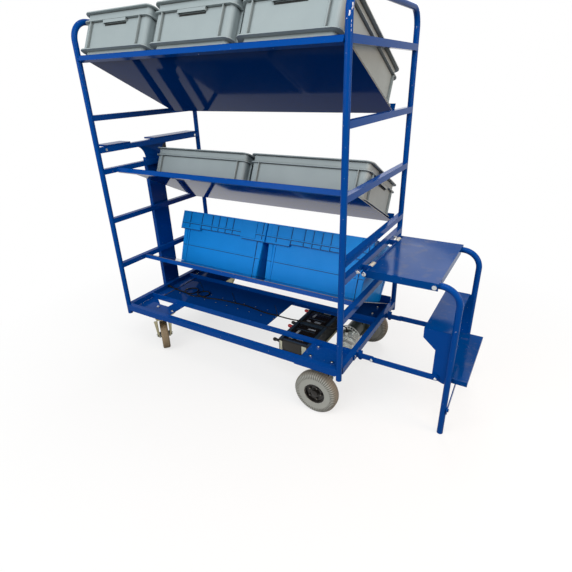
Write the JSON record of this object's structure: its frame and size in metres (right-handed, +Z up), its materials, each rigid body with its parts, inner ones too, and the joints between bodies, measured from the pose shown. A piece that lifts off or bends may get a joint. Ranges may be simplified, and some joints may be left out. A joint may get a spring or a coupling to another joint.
{
  "type": "tote picking trolley",
  "caption": "Powered picking trolley: blue tube frame with sloping trays of open totes, battery drive under the base, swivel casters and a folding step at one end.",
  "frame": {"origin": "On the floor under the middle of the trolley's overall box.", "axes": "+X runs along the trolley to the end with the step, +Y from the picking side to the rear, +Z up."},
  "size_m": [1.8228, 0.8437, 1.6437],
  "materials": {
    "frame_paint": "gloss blue powder coat",
    "tote_grey": "moulded grey polypropylene",
    "tote_blue": "moulded blue polypropylene",
    "drive_tyre": "grey rubber, matte",
    "caster_tyre": "brown-grey rubber, matte",
    "zinc": "yellowish zinc plating",
    "steel": "bright zinc plating",
    "cast_alu": "raw die casting",
    "motor_paint": "dark grey paint",
    "black_plastic": "black, matte",
    "rim_black": "black paint, satin",
    "hub_grey": "grey nylon",
    "bush": "pale nylon",
    "stop_red": "red, gloss",
    "cable": "black sheath"
  },
  "bodies": {
    "frame": {"left_hoop": "frame_paint", "right_hoop": "frame_paint", "left_rungs": "frame_paint", "right_rungs": "frame_paint", "long_rails": "frame_paint", "end_rails": "frame_paint", "inner_rails": "frame_paint", "bay_floor": "frame_paint", "caster_plates": "frame_paint", "drive_plates": "frame_paint", "top_tray": "frame_paint", "middle_tray": "frame_paint", "lower_tray": "frame_paint", "tray_tubes": "frame_paint", "column": "frame_paint", "console_bar": "frame_paint", "console_covers": "frame_paint", "hinge_beam": "frame_paint", "hinge_rod": "frame_paint", "link_brackets": "frame_paint", "front_caster_head": "zinc", "rear_caster_head": "zinc", "battery_carrier": "zinc", "frame_bolts": "steel", "gearbox": "cast_alu", "drive_motor": "motor_paint", "axle_bearings": "motor_paint", "control_box": "black_plastic", "front_battery": "black_plastic", "rear_battery": "black_plastic", "hinge_bushes": "bush", "supply_cable": "cable"},
    "front_caster": {"front_caster_fork": "zinc"},
    "front_caster_wheel": {"front_caster_hub": "hub_grey", "front_caster_tyre": "caster_tyre"},
    "rear_caster": {"rear_caster_fork": "zinc"},
    "rear_caster_wheel": {"rear_caster_hub": "hub_grey", "rear_caster_tyre": "caster_tyre"},
    "front_drive_wheel": {"front_drive_tyre": "drive_tyre", "front_drive_rim": "rim_black", "front_half_shaft": "steel"},
    "rear_drive_wheel": {"rear_drive_tyre": "drive_tyre", "rear_drive_rim": "rim_black", "rear_half_shaft": "steel"},
    "platform": {"step_platform": "frame_paint", "leg_pivot_bolts": "steel"},
    "legs": {"step_legs": "frame_paint", "upper_tread": "frame_paint", "lower_tread": "frame_paint", "step_cheeks": "frame_paint", "leg_brace": "frame_paint"},
    "links": {"link_bars": "frame_paint"},
    "stop": {"stop_button": "stop_red"},
    "top_tote_left": {"top_tote_left": "tote_grey"},
    "top_tote_middle": {"top_tote_middle": "tote_grey"},
    "top_tote_right": {"top_tote_right": "tote_grey"},
    "middle_tote_left": {"middle_tote_left": "tote_grey"},
    "middle_tote_right": {"middle_tote_right": "tote_grey"},
    "blue_tote_left": {"blue_tote_left": "tote_blue"},
    "blue_tote_right": {"blue_tote_right": "tote_blue"}
  },
  "joints": [
    {"name": "front_caster_swivel", "type": "hinge", "parent": "frame", "child": "front_caster", "pos_m": [-0.6386, -0.35692, 0.22], "axis": [0, 0, 1], "continuous": true},
    {"name": "front_caster_spin", "type": "hinge", "parent": "front_caster", "child": "front_caster_wheel", "pos_m": [-0.67307, -0.328, 0.08], "axis": [0.6428, 0.766, 0], "continuous": true},
    {"name": "rear_caster_swivel", "type": "hinge", "parent": "frame", "child": "rear_caster", "pos_m": [-0.6386, 0.24308, 0.22], "axis": [0, 0, 1], "continuous": true},
    {"name": "rear_caster_spin", "type": "hinge", "parent": "rear_caster", "child": "rear_caster_wheel", "pos_m": [-0.67307, 0.21415, 0.08], "axis": [-0.6428, 0.766, 0], "continuous": true},
    {"name": "front_drive_spin", "type": "hinge", "parent": "frame", "child": "front_drive_wheel", "pos_m": [0.3204, -0.38543, 0.1025], "axis": [0, 1, 0], "continuous": true},
    {"name": "rear_drive_spin", "type": "hinge", "parent": "frame", "child": "rear_drive_wheel", "pos_m": [0.3204, 0.27158, 0.1025], "axis": [0, 1, 0], "continuous": true},
    {"name": "step_fold", "type": "hinge", "parent": "frame", "child": "platform", "pos_m": [0.4784, -0.05693, 0.668], "axis": [0, -1, 0], "range_deg": [0, 84]},
    {"name": "leg_pivot", "type": "hinge", "parent": "platform", "child": "legs", "pos_m": [0.7484, -0.05693, 0.668], "axis": [0, -1, 0], "range_deg": [-84, 0]},
    {"name": "link_pivot", "type": "hinge", "parent": "frame", "child": "links", "pos_m": [0.5224, -0.05693, 0.261], "axis": [0, -1, 0], "range_deg": [0, 84]},
    {"name": "stop_press", "type": "slide", "parent": "frame", "child": "stop", "axis": [1, 0, 0], "range_m": [0, 0.006]},
    {"name": "top_tote_left_slide", "type": "slide", "parent": "frame", "child": "top_tote_left", "axis": [0, -0.8988, 0.4384], "range_m": [0, 0.3]},
    {"name": "top_tote_middle_slide", "type": "slide", "parent": "frame", "child": "top_tote_middle", "axis": [0, -0.8988, 0.4384], "range_m": [0, 0.3]},
    {"name": "top_tote_right_slide", "type": "slide", "parent": "frame", "child": "top_tote_right", "axis": [0, -0.8988, 0.4384], "range_m": [0, 0.3]},
    {"name": "middle_tote_left_slide", "type": "slide", "parent": "frame", "child": "middle_tote_left", "axis": [0, -0.8988, 0.4384], "range_m": [0, 0.3]},
    {"name": "middle_tote_right_slide", "type": "slide", "parent": "frame", "child": "middle_tote_right", "axis": [0, -0.8988, 0.4384], "range_m": [0, 0.3]},
    {"name": "blue_tote_left_slide", "type": "slide", "parent": "frame", "child": "blue_tote_left", "axis": [0, -0.8988, 0.4384], "range_m": [0, 0.3]},
    {"name": "blue_tote_right_slide", "type": "slide", "parent": "frame", "child": "blue_tote_right", "axis": [0, -0.8988, 0.4384], "range_m": [0, 0.3]}
  ],
  "couplings": [
    {"joint": "leg_pivot", "follows": "step_fold", "ratio": -1},
    {"joint": "link_pivot", "follows": "step_fold", "ratio": 1}
  ]
}
